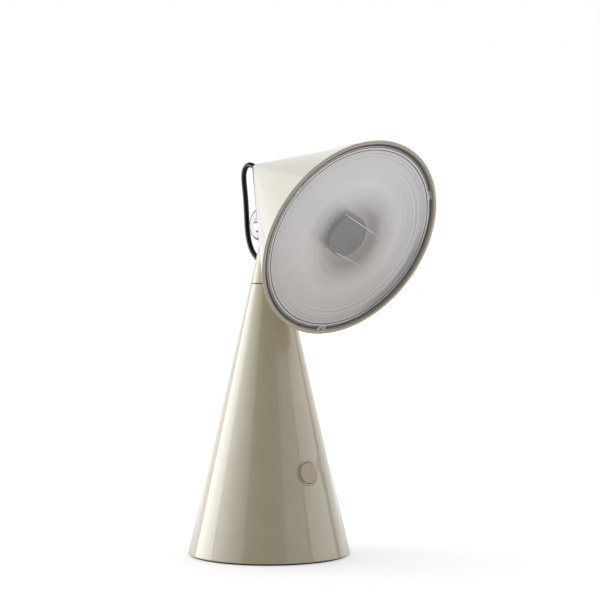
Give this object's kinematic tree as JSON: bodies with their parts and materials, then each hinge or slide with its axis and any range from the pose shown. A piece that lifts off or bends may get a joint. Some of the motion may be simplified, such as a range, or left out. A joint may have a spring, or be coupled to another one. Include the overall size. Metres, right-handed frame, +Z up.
{
  "type": "tabletop searchlight lamp",
  "caption": "Free-standing table lamp: slender conical base with a pushbutton, swivelling neck and a large tilting conical head with a round Fresnel lens, joined by a short jumper lead",
  "frame": {"origin": "middle of the flat underside, on the axis of the base cone", "axes": "+Z up, -Y to the front (head and button), +X along the tilt axis towards the head of the hinge bolt"},
  "size_m": [0.1929, 0.2395, 0.3835],
  "materials": {
    "greige_paint": "gloss",
    "polished_metal": "polished",
    "zinc_steel": "satin",
    "cast_iron": "rough",
    "black_rubber": "matte",
    "black_lead": "gloss",
    "dark_gasket": "satin",
    "black_plastic": "matte",
    "pale_cap": "satin",
    "bezel": "satin",
    "white_liner": "matte",
    "bare_aluminium": "satin",
    "bronze": "satin",
    "board_green": "satin",
    "board_white": "satin",
    "phosphor": "satin",
    "clear_lens": "clear",
    "clear_window": "clear",
    "barrel_grey": "satin",
    "frosted_window": "satin",
    "cell_wrap": "satin"
  },
  "bodies": {
    "base": {"base_shell": "greige_paint", "base_plate": "zinc_steel", "plate_screws": "zinc_steel", "foot_pad": "black_rubber", "ballast": "cast_iron", "ballast_bolts": "zinc_steel", "battery_tray": "black_plastic", "battery_cells": "cell_wrap", "battery_cap": "black_plastic", "tie_screws": "zinc_steel", "control_board": "board_green", "board_screws": "zinc_steel", "usb_inlet": "zinc_steel", "inlet_board": "board_green", "inlet_bracket": "black_plastic", "button_bezel": "bezel", "switch_housing": "black_plastic", "switch_body": "black_plastic", "return_spring": "zinc_steel", "swivel_bush": "bronze", "base_wiring": "black_lead", "split_washer": "black_rubber"},
    "button": {"button_cap": "pale_cap"},
    "neck": {"thrust_washer": "bronze", "stop_washer": "zinc_steel", "swivel_nut": "zinc_steel", "neck": "greige_paint", "neck_grommet": "black_rubber", "neck_wiring": "black_lead", "jumper_lead": "black_lead"},
    "head": {"tilt_bracket": "polished_metal", "pivot_bolt": "zinc_steel", "friction_washers": "bronze", "tilt_stop_pin": "zinc_steel", "bracket_nuts": "zinc_steel", "head_shell": "greige_paint", "tip_grommet": "black_rubber", "module_plate": "bare_aluminium", "module_screws": "zinc_steel", "heat_sink": "bare_aluminium", "led_board": "board_white", "led_emitter": "phosphor", "led_barrel": "barrel_grey", "barrel_window": "frosted_window", "inner_liner": "white_liner", "lens_gasket": "dark_gasket", "fresnel_lens": "clear_lens", "lens_clips": "clear_window", "head_wiring": "black_lead"}
  },
  "joints": [
    {"name": "swivel", "type": "hinge", "parent": "base", "child": "neck", "pos_m": [0, 0, 0.2563], "axis": [0, 0, 1], "range_deg": [-165, 165]},
    {"name": "tilt", "type": "hinge", "parent": "neck", "child": "head", "pos_m": [0, 0, 0.3124], "axis": [-1, 0, 0], "range_deg": [-18, 75], "deforming": ["jumper_lead"]},
    {"name": "button_press", "type": "slide", "parent": "base", "child": "button", "axis": [0, 0.9742, -0.2258], "range_m": [0, 0.0005], "stiffness_N_per_m": 1500, "springref_m": -0.001, "deforming": ["return_spring"]}
  ]
}
